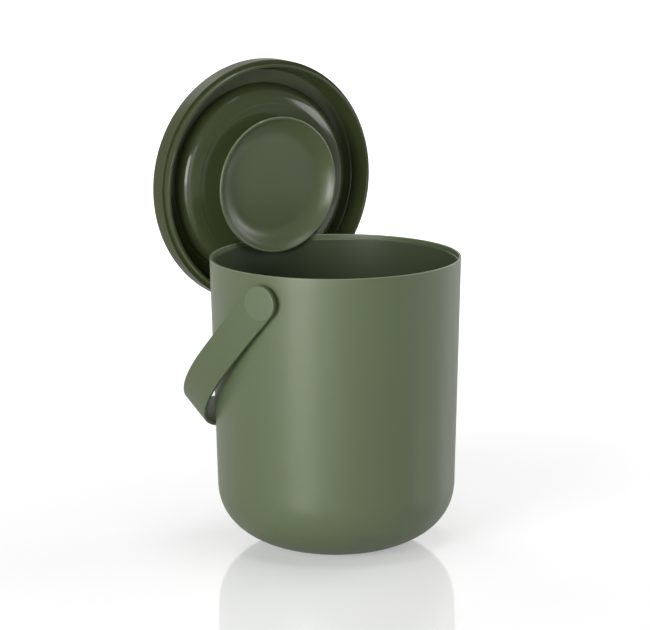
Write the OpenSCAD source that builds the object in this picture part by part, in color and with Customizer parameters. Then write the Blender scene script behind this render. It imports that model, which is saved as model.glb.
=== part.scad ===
// Compost caddy: a round bin with a strap handle, and a loose lid that hangs on the rim
// by a dish under its middle. +Z is up and the origin is the centre of the flat foot.
// The handle turns about a line along Y and hangs down towards -X.

/* [Bin] */
// Height of the bin from its foot to its rim
bin_h = 209; // [160:1:280]
// Outside diameter of the bin at its rim
rim_d = 180; // [174:1:240]
// Outside diameter of the bin where its side meets the bottom curve
shoulder_d = 171; // [150:1:180]
// Height of the whole bottom curve, before the foot cuts it off
curve_h = 53.3; // [30:0.1:80]
// How square the bottom curve is, where 2 is an ellipse
curve_power = 2.41; // [2:0.01:4]
// How much of the bottom curve the flat foot cuts off
foot_cut = 4.75; // [2:0.05:8]
// Thickness of the bin's wall
wall = 2.4; // [2:0.1:4]
// Thickness of the bin's floor
floor_t = 2.6; // [1.5:0.1:5]
// Thickness of the thinner band inside the rim
rim_wall = 1.7; // [1.2:0.1:1.9]
// Height of the thinner band inside the rim
rim_band_h = 3.4; // [2:0.1:12]
// Rounding of the rim's two edges
rim_round = 0.6; // [0.2:0.05:0.8]

/* [Handle pivots] */
// Depth of the pivots below the rim
pivot_drop = 19.3; // [15:0.1:40]
// Height of each pivot boss above the bin's wall
boss_h = 1; // [0.6:0.1:4]
// Diameter of each pivot boss
boss_d = 18; // [13:0.5:22]
// Diameter of the sleeve that the handle turns on
bush_d = 10; // [8:0.1:12]
// Thickness of the flange that keeps the handle on its sleeve
flange_t = 0.6; // [0.4:0.1:0.8]
// Diameter of that flange
flange_d = 16.8; // [14:0.1:17.2]
// Diameter of the pivot screw's shank
screw_d = 3.5; // [2.5:0.1:4.5]
// Depth of the screw in the boss and the wall
screw_grip = 2.4; // [1.5:0.1:2.8]
// Diameter of the screw's head
head_d = 6.4; // [5:0.1:8]
// Thickness of the screw's head
head_t = 0.7; // [0.5:0.1:0.8]
// Play between a turning face and the face beside it
run_gap = 0.2; // [0.1:0.05:0.4]
// Radial clearance of the sleeve in the handle
bore_gap = 0.06; // [0.02:0.01:0.1]

/* [Handle strap] */
// Width of the strap
strap_w = 25; // [22:0.5:34]
// Thickness of the strap
strap_t = 3; // [2.8:0.1:5]
// Thickness of the hub on the inside of each strap end
hub_t = 1.4; // [0.6:0.1:4]
// Radius of the arc that brings each strap leg inwards
leg_arc_r = 300; // [200:5:500]
// Angle through which each leg's arc turns
leg_arc_angle = 10.7; // [6:0.1:16]
// Length of the straight stretch of a leg beyond its pivot
leg_straight = 13.5; // [13:0.5:60]
// Depth of the round recess for the cap in each strap end
recess_depth = 1.8; // [1.6:0.1:2]
// Diameter of that recess
recess_d = 20; // [19.5:0.1:21]
// Thickness of the cap where it shows
cap_t = 1.3; // [0.8:0.1:3]
// Depth of the cap's ring in the recess
cap_ring_h = 1.5; // [0.8:0.1:1.5]
// Thickness of the cap's ring
cap_ring_t = 0.9; // [0.5:0.05:1.1]
// Clearance of the cap's ring in the recess
cap_gap = 0.05; // [0.02:0.01:0.1]
// Gap between the resting strap and the bin's wall
rest_gap = 0.3; // [0.2:0.05:1]

/* [Lid] */
// Height of the lid's skirt above the rim
lid_h = 15.4; // [14.8:0.1:24]
// Rounding of the lid's outer top edge
lid_round = 4; // [2.2:0.1:5]
// Thickness of the lid's cover
cover_t = 1.7; // [1.2:0.1:1.9]
// Thickness of the lid's liner
liner_t = 1.7; // [1.2:0.1:2]
// Length of the plug that enters the rim
plug_h = 4.4; // [3:0.1:12]
// How much the plug narrows to its lower edge, on the radius
plug_taper = 1; // [0.7:0.1:2]
// Width of the plug's lower edge
plug_edge = 2; // [1.7:0.1:3]
// Rounding of the plug's lower edge
plug_round = 0.5; // [0.2:0.05:0.7]
// How much the liner's wall leans in to its ceiling, on the radius
liner_lean = 2.6; // [1:0.1:4]
// Clearance of the plug in the rim
plug_gap = 0.3; // [0.2:0.05:0.6]
// Rounding of the corner between the liner's wall and its ceiling
liner_round = 1.5; // [1:0.1:2.5]
// Height of the band where the liner is welded into the cover
weld_h = 3; // [1.5:0.1:5]
// Clearance of that band in the cover
weld_gap = 0.05; // [0.02:0.01:0.1]
// Gap between the cover and the liner where they nest
nest_gap = 0.2; // [0.1:0.05:0.4]
// How far the liner's ceiling slopes down from its wall to the trough
ceiling_fall = 1.5; // [0:0.1:2.5]
// Radius of the round shoulder of the finger trough, on the liner
trough_round = 12.6; // [8:0.1:13.5]
// Radius at which the trough's outer wall meets the liner's ceiling
trough_r = 75; // [70:0.5:78]
// Diameter of the grip in the middle of the trough
grip_d = 74; // [66:0.5:78]
// Rounding of the cover's upper edges at the trough and the grip
grip_round = 2; // [1:0.1:3]

/* [Hanging dish] */
// Diameter of the neck that rests on the rim
neck_d = 80; // [74:0.5:90]
// Rounding where the trough turns down into the neck
neck_round = 2; // [1:0.1:2.5]
// Distance from the plug's edge to the face of the dish's floor
dish_floor_out = 3.2; // [3.2:0.1:12]
// Depth of the dish
dish_depth = 7.8; // [5:0.1:14]
// Diameter of the dish's rim
dish_d = 100; // [95:0.2:116]
// Diameter of the flat of the dish
dish_flat_d = 65; // [50:0.5:80]
// Thickness of the dish
dish_t = 1.8; // [1.2:0.1:2]
// Height of the spigot that holds the dish in the neck
spigot_h = 4; // [2:0.1:6]
// Clearance of the spigot in the neck
spigot_gap = 0.05; // [0.02:0.01:0.1]

/* [Lid on the rim] */
// Direction of the hung lid, turned from -X towards +Y
hang_angle = 22.8; // [0:0.1:40]
// How far the hung lid sits to one side of that direction
hang_shift = 3; // [-6:0.1:6]
// Gap between the hung lid and the bin
hang_gap = 0.3; // [0.2:0.05:0.6]

/* [Hidden] */
$fn = 96;
eps = 0.01;
green = "#69765a";
dark_green = "#5a664c";
steel = "#b8babc";
arc_steps = 8;
curve_steps = 28;
leg_steps = 10;
bend_steps = 26;

// The bin
rim_r = rim_d / 2;
shoulder_r = shoulder_d / 2;
shoulder_z = curve_h - foot_cut;
pivot_z = bin_h - pivot_drop;
lean = (rim_r - shoulder_r) / (bin_h - shoulder_z);
function wall_r(z) = shoulder_r + lean * (z - shoulder_z);

// The stack at each pivot, as distances from the bin's axis
boss_face = wall_r(pivot_z) + boss_h;
hub_face = boss_face + run_gap;
strap_in = hub_face + hub_t;
strap_out = strap_in + strap_t;
web_face = strap_out - recess_depth;
flange_in = web_face + run_gap / 2;
flange_out = flange_in + flange_t;
head_out = flange_out + head_t;
hub_d = boss_d;
cap_out = strap_out + cap_t;

// The strap's outline: straight ends, then two leg arcs, then a bend round the axis
leg_arc_centre = strap_out - leg_arc_r;
bend_r = (leg_arc_centre + leg_arc_r * cos(leg_arc_angle)) / cos(leg_arc_angle);
bend_centre = leg_straight + (leg_arc_r - bend_r) * sin(leg_arc_angle);
reach = bend_centre + bend_r;

// The strap leans on the wall with its lower inner edge
inner_reach = reach - strap_t;
edge_arm = norm([inner_reach, strap_w / 2]);
edge_angle = atan2(strap_w / 2, inner_reach);
function hang_for(r) = acos((r + rest_gap) / edge_arm) - edge_angle;
function edge_z(angle) = pivot_z - edge_arm * sin(angle + edge_angle);
first_hang = hang_for(shoulder_r);
strap_angle = hang_for(wall_r(edge_z(first_hang)));

// The lid in its own frame: z = 0 is the face that sits on the rim, +z is its top
plug_r = rim_r - rim_wall - plug_gap;
plug_tip_r = plug_r - plug_taper;
liner_r = plug_tip_r - plug_edge;
ceiling_r = liner_r - liner_lean;
cover_in_z = lid_h - cover_t;
ceiling_z = cover_in_z - liner_t;
skirt_in_r = plug_r + nest_gap;
shoulder_mid_r = trough_r - trough_round;
trough_top_z = ceiling_z - ceiling_fall;
trough_z = trough_top_z - trough_round;
neck_r = neck_d / 2;
dish_z = -plug_h - dish_floor_out;
dish_flat_r = dish_flat_d / 2;
dish_r = dish_d / 2;
grip_r = grip_d / 2;
// The dish's wall is one arc from the flat to the lip
dish_run = dish_r - dish_t / 2 - dish_flat_r;
dish_angle = 2 * atan(dish_depth / dish_run);
dish_mid_r = dish_run / sin(dish_angle);
dish_arc_r = dish_mid_r - dish_t / 2;
dish_back_r = dish_mid_r + dish_t / 2;
dish_arc_z = dish_z - dish_arc_r;
neck_on_back = asin((neck_r - dish_flat_r) / dish_back_r);
// The neck ends where it meets the back of the dish
neck_end_z = dish_arc_z + dish_back_r * cos(neck_on_back);
spigot_r = neck_r - liner_t - spigot_gap;

// Points along an arc about (cx, cy)
function arc(cx, cy, r, from, to, steps = arc_steps) =
    [for (i = [0:steps]) let (a = from + (to - from) * i / steps) [cx + r * cos(a), cy + r * sin(a)]];

// Angle on the bottom curve at which a curve of this height meets a level
function level_angle(h, level) = acos(pow(1 - level / h, curve_power / 2));

// Points of the bottom curve, from a level up to its shoulder
function bottom_curve(r, h, level, base_z) =
    let (start = level_angle(h, level))
    [for (i = [0:curve_steps])
        let (a = start + (90 - start) * i / curve_steps)
        [r * pow(sin(a), 2 / curve_power), base_z + h * (1 - pow(cos(a), 2 / curve_power))]];

function reversed(points) = [for (i = [len(points) - 1:-1:0]) points[i]];

module on_both_sides() {
    rotate([90, 0, 0]) children();
    rotate([-90, 0, 0]) children();
}

module at_pivot(side) {
    translate([0, 0, pivot_z]) rotate([-90 * side, 0, 0]) children();
}

// A ring or a disc between two distances along its axis
module disc(d, from, to) {
    translate([0, 0, from]) cylinder(d = d, h = to - from);
}

module bin_shell() {
    outer = bottom_curve(shoulder_r, curve_h, foot_cut, -foot_cut);
    inner_r = shoulder_r - wall;
    inner_h = curve_h - wall;
    inner = bottom_curve(inner_r, inner_h, floor_t + foot_cut - wall, wall - foot_cut);
    band_z = bin_h - rim_band_h;
    step_z = band_z - (wall - rim_wall);
    rotate_extrude() polygon(concat(
        [[0, 0]],
        outer,
        arc(rim_r - rim_round, bin_h - rim_round, rim_round, 0, 90, 4),
        arc(rim_r - rim_wall + rim_round, bin_h - rim_round, rim_round, 90, 180, 4),
        [[wall_r(band_z) - rim_wall, band_z], [wall_r(step_z) - wall, step_z]],
        reversed(inner),
        [[0, floor_t]]
    ));
}

module bin_body() {
    boss_root = wall_r(pivot_z) - wall / 2;
    color(green) difference() {
        union() {
            bin_shell();
            translate([0, 0, pivot_z]) on_both_sides() disc(boss_d, boss_root, boss_face);
        }
        translate([0, 0, pivot_z]) on_both_sides() disc(screw_d, boss_face - screw_grip, boss_face + eps);
    }
}

// The strap's outline at a depth inside its outer face, as seen along the strap's width
function strap_outline(depth) =
    let (side = concat(
        [[-strap_w / 2, strap_out - depth]],
        [for (i = [0:leg_steps]) let (a = leg_arc_angle * i / leg_steps)
            [leg_straight + (leg_arc_r - depth) * sin(a), leg_arc_centre + (leg_arc_r - depth) * cos(a)]],
        [for (i = [1:bend_steps]) let (a = leg_arc_angle + (90 - leg_arc_angle) * i / bend_steps)
            [bend_centre + (bend_r - depth) * sin(a), (bend_r - depth) * cos(a)]]))
    concat(side, [for (i = [len(side) - 2:-1:0]) [side[i][0], -side[i][1]]]);

module strap_band() {
    intersection() {
        translate([0, 0, -strap_w / 2]) linear_extrude(strap_w) difference() {
            polygon(strap_outline(0));
            polygon(concat([[-strap_w, strap_in]], strap_outline(strap_t), [[-strap_w, -strap_in]]));
        }
        union() {
            rotate([90, 0, 0]) disc(strap_w, -strap_out - 1, strap_out + 1);
            translate([0, -strap_out - 1, -strap_w / 2]) cube([reach + 1, 2 * strap_out + 2, strap_w]);
        }
    }
}

module strap_handle() {
    color(green) translate([0, 0, pivot_z]) rotate([0, 180 - strap_angle, 0]) difference() {
        union() {
            strap_band();
            on_both_sides() disc(hub_d, hub_face, strap_in + eps);
        }
        on_both_sides() disc(bush_d + 2 * bore_gap, hub_face - 1, strap_out + 1);
        on_both_sides() disc(recess_d, web_face, strap_out + 1);
    }
}

module pivot_bush(side) {
    color(dark_green) at_pivot(side) difference() {
        union() {
            disc(bush_d, boss_face, flange_in + eps);
            disc(flange_d, flange_in, flange_out);
        }
        disc(screw_d, boss_face - 1, flange_out + 1);
    }
}

module pivot_screw(side) {
    color(steel) at_pivot(side) union() {
        disc(screw_d, boss_face - screw_grip, flange_out + eps);
        disc(head_d, flange_out, head_out);
    }
}

module pivot_cap(side) {
    ring_d = recess_d - 2 * cap_gap;
    color(green) at_pivot(side) difference() {
        union() {
            disc(strap_w, strap_out, cap_out);
            disc(ring_d, strap_out - cap_ring_h, strap_out + eps);
        }
        disc(ring_d - 2 * cap_ring_t, strap_out - cap_ring_h - 1, strap_out);
    }
}

// Moves a piece from the closed lid's frame to the lid hung on the rim
module hung() {
    rotate([0, 0, -hang_angle])
    translate([-(rim_r + hang_gap + plug_h), hang_shift, bin_h + hang_gap + neck_r])
    rotate([0, -90, 0]) children();
}

module lid_cover() {
    round_in = lid_round - cover_t;
    trough_out_r = trough_r - liner_t - nest_gap;
    under_round = trough_round - liner_t - nest_gap;
    over_round = under_round - cover_t;
    wall_top_r = trough_out_r - cover_t;
    over_z = trough_top_z - over_round;
    color(green) hung() rotate_extrude() polygon(concat(
        [[0, lid_h]],
        arc(grip_r - grip_round, lid_h - grip_round, grip_round, 90, 0),
        arc(grip_r + grip_round, over_z + grip_round, grip_round, 180, 270),
        arc(shoulder_mid_r, trough_top_z, over_round, -90, 0),
        arc(wall_top_r + grip_round, lid_h - grip_round, grip_round, 180, 90),
        arc(rim_r - lid_round, lid_h - lid_round, lid_round, 90, 0),
        [[rim_r, 0], [skirt_in_r, 0]],
        arc(skirt_in_r - round_in, cover_in_z - round_in, round_in, 0, 90),
        [[trough_out_r, cover_in_z]],
        arc(shoulder_mid_r, trough_top_z, under_round, 0, -90),
        [[grip_r - cover_t, over_z - cover_t], [grip_r - cover_t, cover_in_z], [0, cover_in_z]]
    ));
}

// The plug, the liner's wall and its corner, which laps into the ceiling
module liner_rim() {
    weld_r = skirt_in_r - weld_gap;
    step_z = weld_h + weld_r - liner_r - liner_t;
    rotate_extrude() polygon(concat(
        arc(plug_tip_r - plug_round, plug_round - plug_h, plug_round, 0, -90, 4),
        arc(liner_r + plug_round, plug_round - plug_h, plug_round, 270, 180, 4),
        arc(ceiling_r - liner_round, ceiling_z - liner_round, liner_round, 0, 90),
        [
            [ceiling_r - liner_round - liner_t / 2, ceiling_z + liner_t / 2],
            [ceiling_r + liner_t - liner_round, cover_in_z],
            [ceiling_r + liner_t, cover_in_z - liner_round],
            [liner_r + liner_t, step_z],
            [weld_r, weld_h],
            [weld_r, 0],
            [plug_r, 0]
        ]
    ));
}

// The liner's ceiling, from the corner of its wall to the finger trough
module liner_ceiling() {
    rotate_extrude() polygon([
        [ceiling_r - liner_round, ceiling_z],
        [trough_r, trough_top_z],
        [trough_r - liner_t, trough_top_z + liner_t],
        [ceiling_r + liner_t - liner_round, cover_in_z]
    ]);
}

// The round body of the finger trough, at a depth inside its lower face, up to a level
module trough_body(depth, top) {
    rotate_extrude() polygon(concat(
        [[0, trough_z + depth]],
        arc(shoulder_mid_r, trough_top_z, trough_round - depth, -90, 0),
        [[trough_r - depth, top], [0, top]]
    ));
}

// The neck under the trough, with its rounded root
module liner_neck() {
    rotate_extrude() polygon(concat(
        [[0, trough_z + liner_t / 2], [neck_r + neck_round, trough_z + liner_t / 2]],
        arc(neck_r + neck_round, trough_z - neck_round, neck_round, 90, 180),
        [[neck_r, neck_end_z], [0, neck_end_z]]
    ));
}

module lid_liner() {
    color(dark_green) hung() difference() {
        union() {
            liner_rim();
            liner_ceiling();
            trough_body(0, trough_top_z + liner_t);
            liner_neck();
        }
        trough_body(liner_t, lid_h);
        disc(neck_d - 2 * liner_t, neck_end_z - 1, lid_h);
    }
}

module hanging_dish() {
    lip_x = dish_flat_r + dish_mid_r * sin(dish_angle);
    lip_z = dish_arc_z + dish_mid_r * cos(dish_angle);
    spigot_in = spigot_r - dish_t;
    color(green) hung() rotate_extrude() polygon(concat(
        [[0, dish_z]],
        arc(dish_flat_r, dish_arc_z, dish_arc_r, 90, 90 - dish_angle),
        arc(lip_x, lip_z, dish_t / 2, 270 - dish_angle, 450 - dish_angle),
        arc(dish_flat_r, dish_arc_z, dish_back_r, 90 - dish_angle, 90 - neck_on_back),
        [
            [spigot_r, neck_end_z],
            [spigot_r, neck_end_z + spigot_h],
            [spigot_in, neck_end_z + spigot_h],
            [spigot_in, dish_z + dish_t],
            [0, dish_z + dish_t]
        ]
    ));
}

bin_body();
strap_handle();
pivot_bush(-1);  // pivot_bush_left
pivot_bush(1);  // pivot_bush_right
pivot_screw(-1);  // pivot_screw_left
pivot_screw(1);  // pivot_screw_right
pivot_cap(-1);  // pivot_cap_left
pivot_cap(1);  // pivot_cap_right
lid_cover();
lid_liner();
hanging_dish();
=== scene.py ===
import math

import bmesh
import bpy
from mathutils import Matrix, Vector


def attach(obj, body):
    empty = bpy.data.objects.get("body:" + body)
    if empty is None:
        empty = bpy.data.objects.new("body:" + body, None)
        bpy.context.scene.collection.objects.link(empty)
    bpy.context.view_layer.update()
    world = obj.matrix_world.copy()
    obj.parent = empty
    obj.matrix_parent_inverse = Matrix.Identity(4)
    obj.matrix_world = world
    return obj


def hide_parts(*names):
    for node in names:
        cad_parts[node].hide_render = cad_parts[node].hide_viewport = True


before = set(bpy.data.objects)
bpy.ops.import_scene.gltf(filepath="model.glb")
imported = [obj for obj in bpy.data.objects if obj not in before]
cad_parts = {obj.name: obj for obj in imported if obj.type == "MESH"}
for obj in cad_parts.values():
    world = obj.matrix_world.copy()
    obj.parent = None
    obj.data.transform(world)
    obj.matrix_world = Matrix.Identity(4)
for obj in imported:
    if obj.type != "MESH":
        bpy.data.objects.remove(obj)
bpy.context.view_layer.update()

print("frame loaded:", len(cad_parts), "pieces")


def mm(value):
    return value / 1000


# small helpers for meshes

def arcPoints(centreX, centreY, radius, start, end, steps=8):
    # points of an arc in millimetres, angles in degrees
    points = []
    for i in range(steps + 1):
        a = math.radians(start + (end - start) * i / steps)
        points.append((centreX + radius * math.cos(a), centreY + radius * math.sin(a)))
    return points


def linkNew(name, mesh):
    piece = bpy.data.objects.new(name, mesh)
    bpy.context.scene.collection.objects.link(piece)
    return piece


def markSharp(mesh, degrees=32):
    mesh.polygons.foreach_set("use_smooth", [True] * len(mesh.polygons))
    mesh.set_sharp_from_angle(angle=math.radians(degrees))


def turnOutwards(mesh, weldReach=1e-7):
    # doubles and slivers go before the faces are turned outwards
    work = bmesh.new()
    work.from_mesh(mesh)
    bmesh.ops.remove_doubles(work, verts=work.verts, dist=weldReach)
    bmesh.ops.dissolve_degenerate(work, dist=weldReach, edges=work.edges)
    bmesh.ops.recalc_face_normals(work, faces=work.faces)
    work.to_mesh(mesh)
    work.free()


def bakeModifiers(piece):
    # the evaluated mesh takes the place of the modifiers
    depsgraph = bpy.context.evaluated_depsgraph_get()
    result = bpy.data.meshes.new_from_object(piece.evaluated_get(depsgraph))
    piece.modifiers.clear()
    old = piece.data
    piece.data = result
    bpy.data.meshes.remove(old)
    result.name = piece.name
    return piece


def cutOrJoin(piece, tools, operation):
    for tool in tools:
        change = piece.modifiers.new(operation, "BOOLEAN")
        change.operation = operation
        change.solver = "EXACT"
        change.object = tool
    bakeModifiers(piece)
    turnOutwards(piece.data, weldReach=2e-6)
    for tool in tools:
        bpy.data.objects.remove(tool)


# geometry node trees

def newTree(name, inputs):
    tree = bpy.data.node_groups.new(name, "GeometryNodeTree")
    tree.interface.new_socket("Geometry", in_out="OUTPUT", socket_type="NodeSocketGeometry")
    tree.interface.new_socket("Geometry", in_out="INPUT", socket_type="NodeSocketGeometry")
    for label, kind in inputs:
        tree.interface.new_socket(label, in_out="INPUT", socket_type=kind)
    return tree


def addNode(tree, kind, **settings):
    node = tree.nodes.new(kind)
    for key, value in settings.items():
        setattr(node, key, value)
    return node


def mathNode(tree, operation, first, second=None):
    node = addNode(tree, "ShaderNodeMath", operation=operation)
    for slot, value in enumerate((first, second)):
        if value is None:
            continue
        if isinstance(value, (int, float)):
            node.inputs[slot].default_value = value
        else:
            tree.links.new(value, node.inputs[slot])
    return node.outputs[0]


def rangeNode(tree, value, given, wanted, interpolation="LINEAR"):
    # carries a value from the given range over to the wanted one
    node = addNode(tree, "ShaderNodeMapRange", interpolation_type=interpolation)
    tree.links.new(value, node.inputs["Value"])
    for label, level in zip(("From Min", "From Max", "To Min", "To Max"), (*given, *wanted)):
        node.inputs[label].default_value = level
    return node.outputs["Result"]


def finishTree(tree, geometry, materialSocket):
    smooth = addNode(tree, "GeometryNodeSetShadeSmooth")
    realize = addNode(tree, "GeometryNodeRealizeInstances")
    paint = addNode(tree, "GeometryNodeSetMaterial")
    out = addNode(tree, "NodeGroupOutput")
    tree.links.new(geometry, smooth.inputs["Geometry"])
    tree.links.new(smooth.outputs["Geometry"], realize.inputs["Geometry"])
    tree.links.new(realize.outputs["Geometry"], paint.inputs["Geometry"])
    tree.links.new(materialSocket, paint.inputs["Material"])
    tree.links.new(paint.outputs["Geometry"], out.inputs["Geometry"])


def makeLatheTree():
    # turns the incoming profile (x is the radius, z the height) round the Z axis
    tree = newTree("latheTurning", [
        ("Steps Round", "NodeSocketInt"), ("Material", "NodeSocketMaterial")])
    given = addNode(tree, "NodeGroupInput")
    size = addNode(tree, "GeometryNodeAttributeDomainSize", component="MESH")
    tree.links.new(given.outputs["Geometry"], size.inputs["Geometry"])
    perRing = mathNode(tree, "ADD", given.outputs["Steps Round"], 1)
    grid = addNode(tree, "GeometryNodeMeshGrid")
    tree.links.new(size.outputs["Point Count"], grid.inputs["Vertices X"])
    tree.links.new(perRing, grid.inputs["Vertices Y"])
    index = addNode(tree, "GeometryNodeInputIndex").outputs[0]
    along = mathNode(tree, "FLOOR", mathNode(tree, "DIVIDE", mathNode(tree, "ADD", index, 0.5), perRing))
    turn = mathNode(tree, "SUBTRACT", index, mathNode(tree, "MULTIPLY", along, perRing))
    angle = mathNode(tree, "MULTIPLY", mathNode(tree, "DIVIDE", turn, given.outputs["Steps Round"]), math.tau)
    sample = addNode(tree, "GeometryNodeSampleIndex", data_type="FLOAT_VECTOR", domain="POINT")
    place = addNode(tree, "GeometryNodeInputPosition")
    tree.links.new(given.outputs["Geometry"], sample.inputs["Geometry"])
    tree.links.new(place.outputs[0], sample.inputs["Value"])
    tree.links.new(along, sample.inputs["Index"])
    split = addNode(tree, "ShaderNodeSeparateXYZ")
    tree.links.new(sample.outputs["Value"], split.inputs[0])
    join = addNode(tree, "ShaderNodeCombineXYZ")
    for operation, axis in (("COSINE", "X"), ("SINE", "Y")):
        side = mathNode(tree, "MULTIPLY", split.outputs["X"], mathNode(tree, operation, angle))
        tree.links.new(side, join.inputs[axis])
    tree.links.new(split.outputs["Z"], join.inputs["Z"])
    move = addNode(tree, "GeometryNodeSetPosition")
    tree.links.new(grid.outputs["Mesh"], move.inputs["Geometry"])
    tree.links.new(join.outputs[0], move.inputs["Position"])
    weld = addNode(tree, "GeometryNodeMergeByDistance")
    weld.inputs["Distance"].default_value = 1e-6
    tree.links.new(move.outputs["Geometry"], weld.inputs["Geometry"])
    finishTree(tree, weld.outputs["Geometry"], given.outputs["Material"])
    return tree


def makeBendTree():
    # bends a flat strip (x along it, y across it, z out of it) along a path in the XY plane
    tree = newTree("bendAlongPath", [
        ("Path", "NodeSocketObject"), ("Start", "NodeSocketFloat"), ("Material", "NodeSocketMaterial")])
    given = addNode(tree, "NodeGroupInput")
    path = addNode(tree, "GeometryNodeObjectInfo")
    curve = addNode(tree, "GeometryNodeMeshToCurve")
    tree.links.new(given.outputs["Path"], path.inputs["Object"])
    tree.links.new(path.outputs["Geometry"], curve.inputs["Mesh"])
    place = addNode(tree, "GeometryNodeInputPosition")
    split = addNode(tree, "ShaderNodeSeparateXYZ")
    tree.links.new(place.outputs[0], split.inputs[0])
    sample = addNode(tree, "GeometryNodeSampleCurve", mode="LENGTH", use_all_curves=True)
    tree.links.new(curve.outputs["Curve"], sample.inputs["Curves"])
    tree.links.new(mathNode(tree, "ADD", split.outputs["X"], given.outputs["Start"]), sample.inputs["Length"])
    across = addNode(tree, "ShaderNodeCombineXYZ")
    across.inputs["Z"].default_value = 1
    outward = addNode(tree, "ShaderNodeVectorMath", operation="CROSS_PRODUCT")
    tree.links.new(across.outputs[0], outward.inputs[0])
    tree.links.new(sample.outputs["Tangent"], outward.inputs[1])
    unit = addNode(tree, "ShaderNodeVectorMath", operation="NORMALIZE")
    tree.links.new(outward.outputs[0], unit.inputs[0])
    rise = addNode(tree, "ShaderNodeVectorMath", operation="SCALE")
    tree.links.new(unit.outputs[0], rise.inputs[0])
    tree.links.new(split.outputs["Z"], rise.inputs["Scale"])
    width = addNode(tree, "ShaderNodeVectorMath", operation="SCALE")
    tree.links.new(across.outputs[0], width.inputs[0])
    tree.links.new(split.outputs["Y"], width.inputs["Scale"])
    offset = addNode(tree, "ShaderNodeVectorMath", operation="ADD")
    tree.links.new(rise.outputs[0], offset.inputs[0])
    tree.links.new(width.outputs[0], offset.inputs[1])
    total = addNode(tree, "ShaderNodeVectorMath", operation="ADD")
    tree.links.new(offset.outputs[0], total.inputs[0])
    tree.links.new(sample.outputs["Position"], total.inputs[1])
    move = addNode(tree, "GeometryNodeSetPosition")
    tree.links.new(given.outputs["Geometry"], move.inputs["Geometry"])
    tree.links.new(total.outputs[0], move.inputs["Position"])
    finishTree(tree, move.outputs["Geometry"], given.outputs["Material"])
    return tree


def applyTree(piece, tree, values):
    change = piece.modifiers.new(tree.name, "NODES")
    change.node_group = tree
    for item in tree.interface.items_tree:
        if item.item_type == "SOCKET" and item.in_out == "INPUT" and item.name in values:
            change[item.identifier] = values[item.name]
    return bakeModifiers(piece)


latheTree = makeLatheTree()
bendTree = makeBendTree()


def turnedPiece(name, profile, material, place=Matrix.Identity(4), stepsRound=192, stepTurn=0):
    # the profile is a list of (radius, height) in millimetres
    # a part of a step in stepTurn keeps the corners of round tools off each other's edges
    mesh = bpy.data.meshes.new(name)
    points = [(mm(r), 0, mm(z)) for r, z in profile]
    mesh.from_pydata(points, [(i, i + 1) for i in range(len(points) - 1)], [])
    piece = linkNew(name, mesh)
    applyTree(piece, latheTree, {"Steps Round": stepsRound, "Material": material})
    turnOutwards(piece.data)
    markSharp(piece.data)
    piece.data.transform(place @ Matrix.Rotation(math.tau * stepTurn / stepsRound, 4, "Z"))
    return piece


# materials

def plasticMaterial(name, look):
    # moulded plastic: slow tint drift, a fine tooled grain, uneven gloss and a painted highlight on sharp
    # edges
    material = bpy.data.materials.new(name)
    material.use_nodes = True
    tree = material.node_tree
    shader = tree.nodes["Principled BSDF"]
    where = addNode(tree, "ShaderNodeTexCoord").outputs["Object"]

    def noise(scale, detail):
        node = addNode(tree, "ShaderNodeTexNoise")
        node.inputs["Scale"].default_value = scale
        node.inputs["Detail"].default_value = detail
        tree.links.new(where, node.inputs["Vector"])
        return node.outputs["Fac"]

    drift = noise(look["driftScale"], 3)
    grain = noise(look["grainScale"], 2)
    tint = addNode(tree, "ShaderNodeMix", data_type="RGBA")
    tint.inputs["A"].default_value = (*[c * (1 - look["drift"]) for c in look["colour"]], 1)
    tint.inputs["B"].default_value = (*[c * (1 + look["drift"]) for c in look["colour"]], 1)
    tree.links.new(drift, tint.inputs["Factor"])
    # painted highlight: sharp edges are made a little paler than the faces beside them, standing in for the
    # light their small rounds catch
    pointed = addNode(tree, "ShaderNodeNewGeometry").outputs["Pointiness"]
    sheenFactor = rangeNode(tree, pointed, look["edgeReach"], (0, look["edgeSheen"]), "SMOOTHSTEP")
    edge = addNode(tree, "ShaderNodeMix", data_type="RGBA")
    edge.inputs["B"].default_value = (*look["paintedSheenColour"], 1)
    tree.links.new(sheenFactor, edge.inputs["Factor"])
    tree.links.new(tint.outputs["Result"], edge.inputs["A"])
    tree.links.new(edge.outputs["Result"], shader.inputs["Base Color"])
    smoothest, roughest = look["roughness"] - look["glossDrift"], look["roughness"] + look["glossDrift"]
    gloss = rangeNode(tree, grain, look["grainSpread"], (smoothest, roughest))
    tree.links.new(gloss, shader.inputs["Roughness"])
    bump = addNode(tree, "ShaderNodeBump")
    bump.inputs["Strength"].default_value = look["bump"]
    bump.inputs["Distance"].default_value = mm(look["grainDepth"])
    tree.links.new(grain, bump.inputs["Height"])
    tree.links.new(bump.outputs["Normal"], shader.inputs["Normal"])
    shader.inputs["IOR"].default_value = look["ior"]
    shader.inputs["Specular IOR Level"].default_value = look["specular"]
    return material


oliveLook = {
    "colour": (0.096, 0.128, 0.061), "drift": 0.03, "driftScale": 14, "grainScale": 2600,
    "grainSpread": (0.3, 0.7), "grainDepth": 0.02, "bump": 0.12, "roughness": 0.42, "glossDrift": 0.03,
    "ior": 1.5, "specular": 0.6, "edgeSheen": 0, "edgeReach": (0.51, 0.55), "paintedSheenColour": (0.26, 0.31, 0.18),
}
polishedLook = {
    **oliveLook, "colour": (0.05, 0.065, 0.026), "roughness": 0.14, "glossDrift": 0.01, "bump": 0.02,
    "specular": 0.33,
}
binPlastic = plasticMaterial("oliveBinPlastic", oliveLook)
# smoother plastic for the inside; its darker colour is partly the plastic's own and partly painted shade of
# the hollow
binInsidePlastic = plasticMaterial("oliveBinInsidePlastic", {
    **polishedLook, "colour": (0.068, 0.09, 0.05), "roughness": 0.3})
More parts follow.
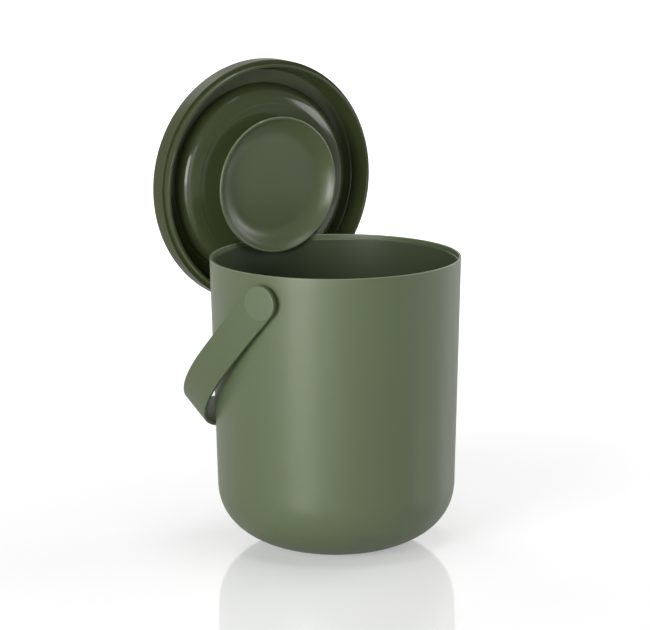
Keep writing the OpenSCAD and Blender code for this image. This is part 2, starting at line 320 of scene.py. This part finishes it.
# painted highlight: a paler copy of the bin's plastic for the lit top edge of the rim
rimHighlightPlastic = plasticMaterial("oliveRimPlastic", {**oliveLook, "colour": (0.15, 0.19, 0.1)})
strapPlastic = plasticMaterial("oliveStrapPlastic", {
    **oliveLook, "colour": (0.088, 0.118, 0.056), "roughness": 0.5, "driftScale": 22, "specular": 0.48})
capPlastic = plasticMaterial("oliveCapPlastic", {
    **oliveLook, "colour": (0.104, 0.138, 0.067), "roughness": 0.46})
coverPlastic = plasticMaterial("oliveCoverPlastic", {
    **oliveLook, "colour": (0.052, 0.062, 0.024), "roughness": 0.34, "specular": 0.12})
# the dish's lip gets the full painted edge highlight
dishPlastic = plasticMaterial("oliveDishPlastic", {
    **oliveLook, "colour": (0.088, 0.116, 0.055), "roughness": 0.31, "specular": 0.42, "edgeSheen": 1})
linerPlastic = plasticMaterial("oliveLinerPlastic", polishedLook)
bushPlastic = plasticMaterial("darkBushPlastic", {
    **oliveLook, "colour": (0.06, 0.075, 0.045), "roughness": 0.45})


steelLook = {"dark": (0.55, 0.56, 0.57), "bright": (0.68, 0.69, 0.7), "grainScale": 900, "roughness": 0.3}


def steelMaterial():
    look = steelLook
    material = bpy.data.materials.new("zincPlatedSteel")
    material.use_nodes = True
    tree = material.node_tree
    shader = tree.nodes["Principled BSDF"]
    shader.inputs["Metallic"].default_value = 1
    where = addNode(tree, "ShaderNodeTexCoord").outputs["Object"]
    noise = addNode(tree, "ShaderNodeTexNoise")
    noise.inputs["Scale"].default_value = look["grainScale"]
    tree.links.new(where, noise.inputs["Vector"])
    tint = addNode(tree, "ShaderNodeMix", data_type="RGBA")
    tint.inputs["A"].default_value = (*look["dark"], 1)
    tint.inputs["B"].default_value = (*look["bright"], 1)
    tree.links.new(noise.outputs["Fac"], tint.inputs["Factor"])
    tree.links.new(tint.outputs["Result"], shader.inputs["Base Color"])
    shader.inputs["Roughness"].default_value = look["roughness"]
    return material


screwSteel = steelMaterial()
print("materials ready")

# the bin

binDims = {
    "height": 209, "rimDiameter": 180, "shoulderDiameter": 171,
    "curveHeight": 53.3, "curvePower": 2.41, "footCut": 4.75,
    "wall": 2.4, "floor": 2.6, "rimWall": 1.7, "rimBand": 3.4, "rimGlint": 0.45, "rimRound": 0.6,
    "pivotDrop": 19.3, "bossDiameter": 18, "bossHeight": 1, "bossRound": 0.3,
    "screwDiameter": 3.5, "screwGrip": 2.4,
}
rimRadius = binDims["rimDiameter"] / 2
shoulderRadius = binDims["shoulderDiameter"] / 2
shoulderHeight = binDims["curveHeight"] - binDims["footCut"]
pivotHeight = binDims["height"] - binDims["pivotDrop"]


def wallRadius(z):
    lean = (rimRadius - shoulderRadius) / (binDims["height"] - shoulderHeight)
    return shoulderRadius + lean * (z - shoulderHeight)


def bottomCurve(radius, height, level, baseHeight, steps=56):
    # a superellipse from a level above its lowest point up to its shoulder
    power = 2 / binDims["curvePower"]
    start = math.acos((1 - level / height) ** (1 / power))
    points = []
    for i in range(steps + 1):
        a = start + (math.pi / 2 - start) * i / steps
        points.append((radius * math.sin(a) ** power,
                       baseHeight + height * (1 - max(math.cos(a), 0) ** power)))
    return points


def binProfile():
    d = binDims
    top, wall, rimWall, rounding = d["height"], d["wall"], d["rimWall"], d["rimRound"]
    outer = bottomCurve(shoulderRadius, d["curveHeight"], d["footCut"], -d["footCut"])
    inner = bottomCurve(shoulderRadius - wall, d["curveHeight"] - wall,
                        d["floor"] + d["footCut"] - wall, wall - d["footCut"])
    sideHeights = [shoulderHeight + (top - rounding - shoulderHeight) * i / 24 for i in range(1, 24)]
    bandHeight = top - d["rimBand"]
    stepHeight = bandHeight - (wall - rimWall)
    innerHeights = [stepHeight + (shoulderHeight - stepHeight) * i / 24 for i in range(1, 24)]
    return (
        [(0, 0), (outer[0][0] * 0.5, 0)] + outer
        + [(wallRadius(z), z) for z in sideHeights]
        + arcPoints(rimRadius - rounding, top - rounding, rounding, 0, 90)
        + arcPoints(rimRadius - rimWall + rounding, top - rounding, rounding, 90, 180)
        + [(wallRadius(bandHeight) - rimWall, bandHeight), (wallRadius(stepHeight) - wall, stepHeight)]
        + [(wallRadius(z) - wall, z) for z in innerHeights]
        + inner[::-1] + [(inner[0][0] * 0.5, d["floor"]), (0, d["floor"])]
    )


def alongPivot(side):
    # turns a piece built up the Z axis to point out along the pivots, side is -1 or 1
    return Matrix.Translation((0, 0, mm(pivotHeight))) @ Matrix.Rotation(math.radians(-90 * side), 4, "X")


bossFace = wallRadius(pivotHeight) + binDims["bossHeight"]
bossRadius = binDims["bossDiameter"] / 2


def paintInsideShadeAndRimGlint(body):
    # the smooth, darker inside starts below the thin band at the rim; its darker colour partly stands in for
    # the shade in the hollow, and the very top of the rim gets a painted highlight
    mesh = body.data
    mesh.materials.clear()
    mesh.materials.append(binPlastic)
    mesh.materials.append(binInsidePlastic)
    mesh.materials.append(rimHighlightPlastic)
    bandHeight = binDims["height"] - binDims["rimBand"]
    # painted highlight: faces above this height, at the very top of the rim, get the paler rim plastic
    glintHeight = binDims["height"] - binDims["rimGlint"]
    for face in mesh.polygons:
        x, y, z = (value * 1000 for value in face.center)
        inside = math.hypot(x, y) < wallRadius(max(z, shoulderHeight)) - binDims["wall"] / 2
        if z < shoulderHeight:
            inside = face.normal.dot(Vector((x, y, z - shoulderHeight))) < 0
        face.material_index = 2 if z > glintHeight else 1 if inside and z < bandHeight else 0


def makeBin():
    body = turnedPiece("olive_bin", binProfile(), binPlastic, stepsRound=256)
    bosses, holes = [], []
    rounding, root = binDims["bossRound"], wallRadius(pivotHeight) - binDims["wall"] / 2
    bossProfile = ([(0, root), (bossRadius, root)]
                   + arcPoints(bossRadius - rounding, bossFace - rounding, rounding, 0, 90, 4)
                   + [(0, bossFace)])
    holeRadius = binDims["screwDiameter"] / 2
    holeProfile = [(0, bossFace - binDims["screwGrip"]), (holeRadius, bossFace - binDims["screwGrip"]),
                   (holeRadius, bossFace + 1), (0, bossFace + 1)]
    for side in (-1, 1):
        bosses.append(turnedPiece("boss", bossProfile, binPlastic, alongPivot(side), 64, 0.5))
        holes.append(turnedPiece("hole", holeProfile, binPlastic, alongPivot(side), 32, 0.5))
    cutOrJoin(body, bosses, "UNION")
    cutOrJoin(body, holes, "DIFFERENCE")
    markSharp(body.data)
    paintInsideShadeAndRimGlint(body)
    return body


bin = makeBin()
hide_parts("bin_body")
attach(bin, "bin")
print("bin turned")

# the strap handle

strapDims = {
    "width": 25, "thickness": 3, "edgeRound": 0.7, "runGap": 0.2, "hub": 1.4, "boreGap": 0.06,
    "bushDiameter": 10, "legRadius": 300, "legAngle": 10.7, "straight": 13.5,
    "recessDepth": 1.8, "recessDiameter": 20, "restGap": 0.3, "hubOverlap": 0.4,
    "pathStep": 1.2, "blankSteps": 96,
}
hubFace = bossFace + strapDims["runGap"]
strapIn = hubFace + strapDims["hub"]
strapOut = strapIn + strapDims["thickness"]
legAngle = math.radians(strapDims["legAngle"])
legCentre = strapOut - strapDims["legRadius"]
bendRadius = (legCentre + strapDims["legRadius"] * math.cos(legAngle)) / math.cos(legAngle)
bendCentre = strapDims["straight"] + (strapDims["legRadius"] - bendRadius) * math.sin(legAngle)
strapReach = bendCentre + bendRadius


def strapHangAngle():
    # the strap leans on the wall with its lower inner edge
    arm = math.hypot(strapReach - strapDims["thickness"], strapDims["width"] / 2)
    edge = math.atan2(strapDims["width"] / 2, strapReach - strapDims["thickness"])
    first = math.acos((shoulderRadius + strapDims["restGap"]) / arm) - edge
    touchHeight = pivotHeight - arm * math.sin(first + edge)
    return math.acos((wallRadius(touchHeight) + strapDims["restGap"]) / arm) - edge


def strapPath():
    # the outer face from one round end to the other, in millimetres from the pivot line
    d = strapDims
    half = [(-d["width"], strapOut)]
    legSteps = round(d["legRadius"] * legAngle / d["pathStep"])
    bendSteps = round(bendRadius * (math.pi / 2 - legAngle) / d["pathStep"])
    for i in range(legSteps + 1):
        a = legAngle * i / legSteps
        half.append((d["straight"] + d["legRadius"] * math.sin(a), legCentre + d["legRadius"] * math.cos(a)))
    for i in range(1, bendSteps + 1):
        a = legAngle + (math.pi / 2 - legAngle) * i / bendSteps
        half.append((bendCentre + bendRadius * math.sin(a), bendRadius * math.cos(a)))
    return half + [(x, -y) for x, y in half[-2::-1]]


def flatStrip(length):
    # a flat strip with round ends and rounded edges, its outer face at z = 0
    d = strapDims
    radius, rounding, thickness = d["width"] / 2, d["edgeRound"], d["thickness"]
    endSteps, edgeSteps = 24, 6
    loops = []
    for i in range(edgeSteps + 1):
        a = math.pi / 2 * i / edgeSteps
        loops.append((rounding * (1 - math.sin(a)), -rounding * (1 - math.cos(a))))
    loops += [(inset, -thickness - z) for inset, z in loops[::-1]]
    straightSteps = round(length / d["pathStep"])
    stations = [("start", math.pi / 2 * i / endSteps) for i in range(endSteps)]
    stations += [("side", length * i / straightSteps) for i in range(straightSteps + 1)]
    stations += [("end", math.pi / 2 * (1 - i / endSteps)) for i in range(1, endSteps + 1)]
    work = bmesh.new()
    rows = []
    for inset, z in loops:
        reach = radius - inset
        left, right = [], []
        for part, value in stations:
            if part == "start":
                x, y = -reach * math.cos(value), reach * math.sin(value)
            elif part == "end":
                x, y = length + reach * math.cos(value), reach * math.sin(value)
            else:
                x, y = value, reach
            left.append(work.verts.new((mm(x), mm(y), mm(z))))
            right.append(work.verts.new((mm(x), mm(-y), mm(z))))
        rows.append((left, right))
    count = len(stations)
    for (left, right), (nextLeft, nextRight) in zip(rows, rows[1:]):
        for i in range(count - 1):
            work.faces.new((left[i], left[i + 1], nextLeft[i + 1], nextLeft[i]))
            work.faces.new((right[i + 1], right[i], nextRight[i], nextRight[i + 1]))
    for left, right in (rows[0], rows[-1]):
        for i in range(count - 1):
            work.faces.new((left[i], right[i], right[i + 1], left[i + 1]))
    bmesh.ops.remove_doubles(work, verts=work.verts, dist=1e-7)
    bmesh.ops.dissolve_degenerate(work, dist=1e-8, edges=work.edges)
    bmesh.ops.recalc_face_normals(work, faces=work.faces)
    mesh = bpy.data.meshes.new("olive_strap")
    work.to_mesh(mesh)
    work.free()
    return linkNew("olive_strap", mesh)


def roundBlank(radius, low, high, x, stepTurn):
    # a plain round tool or boss that stands at x on the flat strip
    profile = [(0, low), (radius, low), (radius, high), (0, high)]
    place = Matrix.Translation((mm(x), 0, 0))
    return turnedPiece("blank", profile, strapPlastic, place, strapDims["blankSteps"], stepTurn)


def makeStrap():
    d = strapDims
    length = 2 * (d["straight"] + d["legRadius"] * legAngle + bendRadius * (math.pi / 2 - legAngle))
    strip = flatStrip(length)
    strip.data.materials.append(strapPlastic)
    hubs, tools = [], []
    for x in (0, length):
        hubs.append(roundBlank(bossRadius, hubFace - strapOut, strapIn - strapOut + d["hubOverlap"], x, 0.5))
        tools.append(roundBlank(d["bushDiameter"] / 2 + d["boreGap"], hubFace - strapOut - 1, 1, x, 0.25))
        tools.append(roundBlank(d["recessDiameter"] / 2, -d["recessDepth"], 1, x, 0.5))
    cutOrJoin(strip, hubs, "UNION")
    cutOrJoin(strip, tools, "DIFFERENCE")
    pathMesh = bpy.data.meshes.new("strapPath")
    path = strapPath()
    pathMesh.from_pydata([(mm(x), mm(y), 0) for x, y in path],
                         [(i, i + 1) for i in range(len(path) - 1)], [])
    pathObject = linkNew("strapPath", pathMesh)
    applyTree(strip, bendTree, {"Path": pathObject, "Start": mm(d["width"]), "Material": strapPlastic})
    bpy.data.objects.remove(pathObject)
    turnOutwards(strip.data)
    markSharp(strip.data)
    hang = Matrix.Rotation(math.pi - strapHangAngle(), 4, "Y")
    strip.data.transform(Matrix.Translation((0, 0, mm(pivotHeight))) @ hang)
    return strip


strap = makeStrap()
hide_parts("strap_handle")
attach(strap, "handle")
print("strap bent to", round(math.degrees(strapHangAngle()), 2), "degrees")

# the pivot caps

capDims = {
    "thickness": 1.3, "edgeRound": 0.8, "underBevel": 0.15, "ringHeight": 1.5, "ringWall": 0.9,
    "ringGap": 0.05,
}


def capProfile():
    d = capDims
    radius, rounding = strapDims["width"] / 2, d["edgeRound"]
    top = strapOut + d["thickness"]
    ringOut = strapDims["recessDiameter"] / 2 - d["ringGap"]
    ringIn = ringOut - d["ringWall"]
    return ([(0, strapOut), (ringIn, strapOut), (ringIn, strapOut - d["ringHeight"]),
             (ringOut, strapOut - d["ringHeight"]), (ringOut, strapOut), (radius - d["underBevel"], strapOut),
             (radius, strapOut + d["underBevel"])]
            + arcPoints(radius - rounding, top - rounding, rounding, 0, 90) + [(0, top)])


for label, side in (("left", -1), ("right", 1)):
    cap = turnedPiece("olive_cap_" + label, capProfile(), capPlastic, alongPivot(side), 160)
    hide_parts("pivot_cap_" + label)
    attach(cap, "handle")
    for node, material in (("pivot_bush_", bushPlastic), ("pivot_screw_", screwSteel)):
        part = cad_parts[node + label]
        part.data.materials.clear()
        part.data.materials.append(material)
print("pivots fitted")

# the lid, turned in its closed place: z = 0 sits on the rim

lidDims = {
    "height": 15.4, "edgeRound": 4, "bevelHeight": 0.4, "bevelWidth": 0.3, "cover": 1.7, "liner": 1.7,
    "plug": 4.4, "plugTaper": 1, "plugEdge": 2, "plugRound": 0.5, "plugGap": 0.3, "lean": 2.6,
    "linerRound": 1.5, "weldHeight": 3, "weldGap": 0.05, "nestGap": 0.2, "ceilingFall": 1.5,
    "troughRound": 12.6, "troughRadius": 72.4, "gripDiameter": 74, "gripRound": 2,
    "innerRound": 41, "innerAngle": 16, "creaseRadius": 58.4, "creaseStep": 0.12,
}
dishDims = {
    "neckDiameter": 80, "neckRound": 2, "floorOut": 3.2, "depth": 7.8, "diameter": 100,
    "flatDiameter": 65, "wellDiameter": 66, "wellDrop": 0.8,
    "thickness": 1.8, "spigotHeight": 4, "spigotGap": 0.05,
}
hangDims = {"angle": 22.8, "shift": 3, "gap": 0.3}

plugRadius = rimRadius - binDims["rimWall"] - lidDims["plugGap"]
plugTip = plugRadius - lidDims["plugTaper"]
linerRadius = plugTip - lidDims["plugEdge"]
ceilingRadius = linerRadius - lidDims["lean"]
coverIn = lidDims["height"] - lidDims["cover"]
ceilingHeight = coverIn - lidDims["liner"]
skirtIn = plugRadius + lidDims["nestGap"]
shoulderMid = lidDims["troughRadius"] - lidDims["troughRound"]
troughTop = ceilingHeight - lidDims["ceilingFall"]
troughHeight = troughTop - lidDims["troughRound"]
neckRadius = dishDims["neckDiameter"] / 2

dishFlat = dishDims["flatDiameter"] / 2
dishFace = -lidDims["plug"] - dishDims["floorOut"]
dishRun = dishDims["diameter"] / 2 - dishDims["thickness"] / 2 - dishFlat
dishAngle = math.degrees(2 * math.atan(dishDims["depth"] / dishRun))
dishMid = dishRun / math.sin(math.radians(dishAngle))
dishBack = dishMid + dishDims["thickness"] / 2
dishArcHeight = dishFace - dishMid + dishDims["thickness"] / 2
neckOnBack = math.degrees(math.asin((neckRadius - dishFlat) / dishBack))
neckEnd = dishArcHeight + dishBack * math.cos(math.radians(neckOnBack))


hungPlace = (
    Matrix.Rotation(math.radians(-hangDims["angle"]), 4, "Z")
    @ Matrix.Translation((-mm(rimRadius + hangDims["gap"] + lidDims["plug"]), mm(hangDims["shift"]),
                          mm(binDims["height"] + hangDims["gap"] + neckRadius)))
    @ Matrix.Rotation(math.radians(-90), 4, "Y")
)


def coverProfile():
    d = lidDims
    edge, grip, height = d["edgeRound"], d["gripRound"], d["height"]
    edgeIn = edge - d["cover"]
    gripRadius = d["gripDiameter"] / 2
    troughOut = d["troughRadius"] - d["liner"] - d["nestGap"]
    under = d["troughRound"] - d["liner"] - d["nestGap"]
    over = under - d["cover"]
    wallTop = troughOut - d["cover"]
    overHeight = troughTop - over
    return (
        [(0, height), (gripRadius * 0.5, height)]
        + arcPoints(gripRadius - grip, height - grip, grip, 90, 0)
        + arcPoints(gripRadius + grip, overHeight + grip, grip, 180, 270)
        + arcPoints(shoulderMid, troughTop, over, -90, 0, 20)
        + arcPoints(wallTop + grip, height - grip, grip, 180, 90)
        + arcPoints(rimRadius - edge, height - edge, edge, 90, 0, 12)
        + [(rimRadius, d["bevelHeight"]), (rimRadius - d["bevelWidth"], 0), (skirtIn, 0)]
        + arcPoints(skirtIn - edgeIn, coverIn - edgeIn, edgeIn, 0, 90)
        + [(troughOut, coverIn)]
        + arcPoints(shoulderMid, troughTop, under, 0, -90, 20)
        + [(gripRadius - d["cover"], overHeight - d["cover"]), (gripRadius - d["cover"], coverIn),
           (0, coverIn)]
    )


def linerProfile():
    d = lidDims
    tip, corner, liner = d["plugRound"], d["linerRound"], d["liner"]
    weldRadius = skirtIn - d["weldGap"]
    stepHeight = d["weldHeight"] + weldRadius - linerRadius - liner
    neckRound = dishDims["neckRound"]
    over = d["troughRound"] - liner
    overHeight = troughHeight + liner
    # the shoulder of the trough runs into a flatter round, which the crease cuts
    inner, turn = d["innerRound"], math.radians(d["innerAngle"])
    innerMid = shoulderMid + (d["troughRound"] - inner) * math.sin(turn)
    shoulderTop = troughHeight + inner * (1 - math.cos(turn)) + d["troughRound"] * math.cos(turn)
    creaseAngle = math.degrees(math.asin((d["creaseRadius"] - innerMid) / inner))
    innerTop = troughHeight + inner
    points = (
        arcPoints(plugTip - tip, tip - d["plug"], tip, 0, -90, 6)
        + arcPoints(linerRadius + tip, tip - d["plug"], tip, 270, 180, 6)
        + arcPoints(ceilingRadius - corner, ceilingHeight - corner, corner, 0, 90)
        + arcPoints(shoulderMid, shoulderTop, d["troughRound"], 0, d["innerAngle"] - 90, 28)
        + arcPoints(innerMid, innerTop, inner, d["innerAngle"] - 90.5, creaseAngle - 90, 6)
        + arcPoints(innerMid, innerTop + d["creaseStep"], inner, creaseAngle - 90.5, -90, 8)
        + arcPoints(neckRadius + neckRound, troughHeight - neckRound, neckRound, 90, 180)
        + [(neckRadius, neckEnd), (neckRadius - liner, neckEnd), (neckRadius - liner, overHeight)]
        + arcPoints(shoulderMid, troughTop, over, -90, 0, 20)
        + [(d["troughRadius"] - liner, troughTop + liner),
           (ceilingRadius + liner - corner, coverIn), (ceilingRadius + liner, coverIn - corner),
           (linerRadius + liner, stepHeight), (weldRadius, d["weldHeight"]), (weldRadius, 0), (plugRadius, 0)]
    )
    return points + points[:1]


def dishProfile():
    d = dishDims
    # the well sinks a little into the hollow neck, and one arc leads from its floor to the lip
    wellRadius, wellFace = d["wellDiameter"] / 2, dishFace + d["wellDrop"]
    lipX = dishFlat + dishMid * math.sin(math.radians(dishAngle))
    lipZ = dishArcHeight + dishMid * math.cos(math.radians(dishAngle))
    spigotOut = neckRadius - lidDims["liner"] - d["spigotGap"]
    spigotIn = spigotOut - d["thickness"]
    back = wellFace + d["thickness"]
    lip = arcPoints(lipX, lipZ, d["thickness"] / 2, 270 - dishAngle, 450 - dishAngle, 12)
    run, rise = lip[0][0] - wellRadius, wellFace - lip[0][1]
    bend = math.atan2(rise, run)
    wallRound = math.hypot(run, rise) / 2 / math.sin(bend)
    return (
        [(0, wellFace), (wellRadius * 0.5, wellFace)]
        + arcPoints(wellRadius, wellFace - wallRound, wallRound, 90, 90 - 2 * math.degrees(bend), 24)[:-1]
        + lip
        + arcPoints(dishFlat, dishArcHeight, dishBack, 90 - dishAngle, 90 - neckOnBack, 20)
        + [(spigotOut, neckEnd), (spigotOut, neckEnd + d["spigotHeight"]),
           (spigotIn, neckEnd + d["spigotHeight"]), (spigotIn, back), (0, back)]
    )


for name, profile, material, node, slot in (
    ("olive_lid_cover", coverProfile(), coverPlastic, "lid_cover", "lid_green"),
    ("olive_lid_liner", linerProfile(), linerPlastic, "lid_liner", "liner_green"),
    ("olive_dish", dishProfile(), dishPlastic, "hanging_dish", "lid_green"),
):
    piece = turnedPiece(name, profile, material, hungPlace, 256)
    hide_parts(node)
    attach(piece, "lid")
print("lid hung on the rim")

# camera

cameraDims = {
    "place": (1.5626, -2.3342, 0.7268), "azimuth": 33.8, "yaw": -0.155, "pitch": -11.293, "roll": -0.26,
    "lens": 221.3, "sensor": 36,
}


def makeCamera():
    d = cameraDims
    data = bpy.data.cameras.new("camera")
    data.sensor_fit = "HORIZONTAL"
    data.sensor_width = d["sensor"]
    data.lens = d["lens"]
    data.clip_start, data.clip_end = 0.1, 100
    camera = linkNew("camera", data)
    camera.matrix_world = (
        Matrix.Translation(d["place"])
        @ Matrix.Rotation(math.radians(d["azimuth"] - d["yaw"]), 4, "Z")
        @ Matrix.Rotation(math.radians(90 + d["pitch"]), 4, "X")
        @ Matrix.Rotation(math.radians(d["roll"]), 4, "Z")
    )
    bpy.context.scene.camera = camera


makeCamera()

# floor, world and lamps

stageDims = {
    "size": 40, "height": -0.0002, "floorColour": 0.8, "roughness": 0.08,
    "glow": (0.33, 0.85), "glowReach": (0.2, 1.2), "worldLight": 0.05,
    "mirrored": 0.42, "backdrop": (-0.556, 0.831, 0), "roomReach": (-0.2, 0.6), "roomFront": 0.35,
}
lampDims = {
    "keyBox": {"azimuth": 3, "elevation": 10, "width": 0.9, "height": 0.9, "power": 31},
    "frontBox": {"azimuth": 30, "elevation": 12, "width": 0.5, "height": 1.1, "power": 4},
    "sideBox": {"azimuth": 125, "elevation": 13, "width": 0.8, "height": 0.5, "power": 7.5},
    "backBox": {"azimuth": 158, "elevation": 18, "width": 0.9, "height": 1.1, "power": 10},
    "fillBox": {"azimuth": 247, "elevation": 40, "width": 0.8, "height": 0.8, "power": 4},
    "topBox": {"azimuth": 34, "elevation": 88, "width": 1.2, "height": 1.2, "power": 13},
}


def seenRays(tree, mirrored):
    # 1 for camera and transmission rays, the mirrored level for glossy rays, 0 for the light itself
    rays = addNode(tree, "ShaderNodeLightPath")
    seen = mathNode(tree, "MAXIMUM", rays.outputs["Is Camera Ray"], rays.outputs["Is Transmission Ray"])
    glossy = mathNode(tree, "MULTIPLY", rays.outputs["Is Glossy Ray"], mirrored)
    return mathNode(tree, "MAXIMUM", seen, glossy)


def makeFloor():
    d = stageDims
    mesh = bpy.data.meshes.new("floor")
    half, z = d["size"] / 2, d["height"]
    corners = [(-half, -half, z), (half, -half, z), (half, half, z), (-half, half, z)]
    mesh.from_pydata(corners, [], [(0, 1, 2, 3)])
    floor = linkNew("floor", mesh)
    material = bpy.data.materials.new("whiteSheet")
    material.use_nodes = True
    tree = material.node_tree
    shader = tree.nodes["Principled BSDF"]
    out = tree.nodes["Material Output"]
    shader.inputs["Base Color"].default_value = (*[d["floorColour"]] * 3, 1)
    shader.inputs["Roughness"].default_value = d["roughness"]
    # the glow grows away from the object, where the lamps reach less
    where = addNode(tree, "ShaderNodeTexCoord").outputs["Object"]
    reach = addNode(tree, "ShaderNodeVectorMath", operation="LENGTH")
    tree.links.new(where, reach.inputs[0])
    level = rangeNode(tree, reach.outputs["Value"], d["glowReach"], d["glow"], "SMOOTHSTEP")
    shown = mathNode(tree, "MULTIPLY", seenRays(tree, d["mirrored"]), level)
    glow = addNode(tree, "ShaderNodeEmission")
    tree.links.new(shown, glow.inputs["Strength"])
    add = addNode(tree, "ShaderNodeAddShader")
    tree.links.new(shader.outputs[0], add.inputs[0])
    tree.links.new(glow.outputs[0], add.inputs[1])
    tree.links.new(add.outputs[0], out.inputs["Surface"])
    mesh.materials.append(material)


def makeWorld():
    d = stageDims
    world = bpy.data.worlds.new("studio")
    bpy.context.scene.world = world
    world.use_nodes = True
    tree = world.node_tree
    back = tree.nodes["Background"]
    back.inputs["Color"].default_value = (1, 1, 1, 1)
    # what the object mirrors is white at the back of the room and dim at its front
    where = addNode(tree, "ShaderNodeTexCoord").outputs["Generated"]
    towards = addNode(tree, "ShaderNodeVectorMath", operation="DOT_PRODUCT")
    towards.inputs[1].default_value = d["backdrop"]
    tree.links.new(where, towards.inputs[0])
    room = rangeNode(tree, towards.outputs["Value"], d["roomReach"], (d["roomFront"], 1), "SMOOTHSTEP")
    strength = rangeNode(tree, seenRays(tree, room), (0, 1), (d["worldLight"], 1))
    tree.links.new(strength, back.inputs["Strength"])


def makeLamp(name, azimuth, elevation, width, height, power, distance=2, target=(0, 0, 0.16)):
    # azimuth 0 stands at -Y and 90 at +X, as seen from the object
    data = bpy.data.lights.new(name, "AREA")
    data.shape = "RECTANGLE"
    data.size, data.size_y = width, height
    data.energy = power
    lamp = linkNew(name, data)
    a, e = math.radians(azimuth), math.radians(elevation)
    away = Vector((math.sin(a) * math.cos(e), -math.cos(a) * math.cos(e), math.sin(e)))
    lamp.location = Vector(target) + away * distance
    lamp.rotation_mode = "QUATERNION"
    lamp.rotation_quaternion = away.to_track_quat("Z", "Y")


bpy.context.scene.view_settings.view_transform = "Standard"
makeFloor()
makeWorld()
for name, lamp in lampDims.items():
    makeLamp(name, **lamp)
print("stage lit")
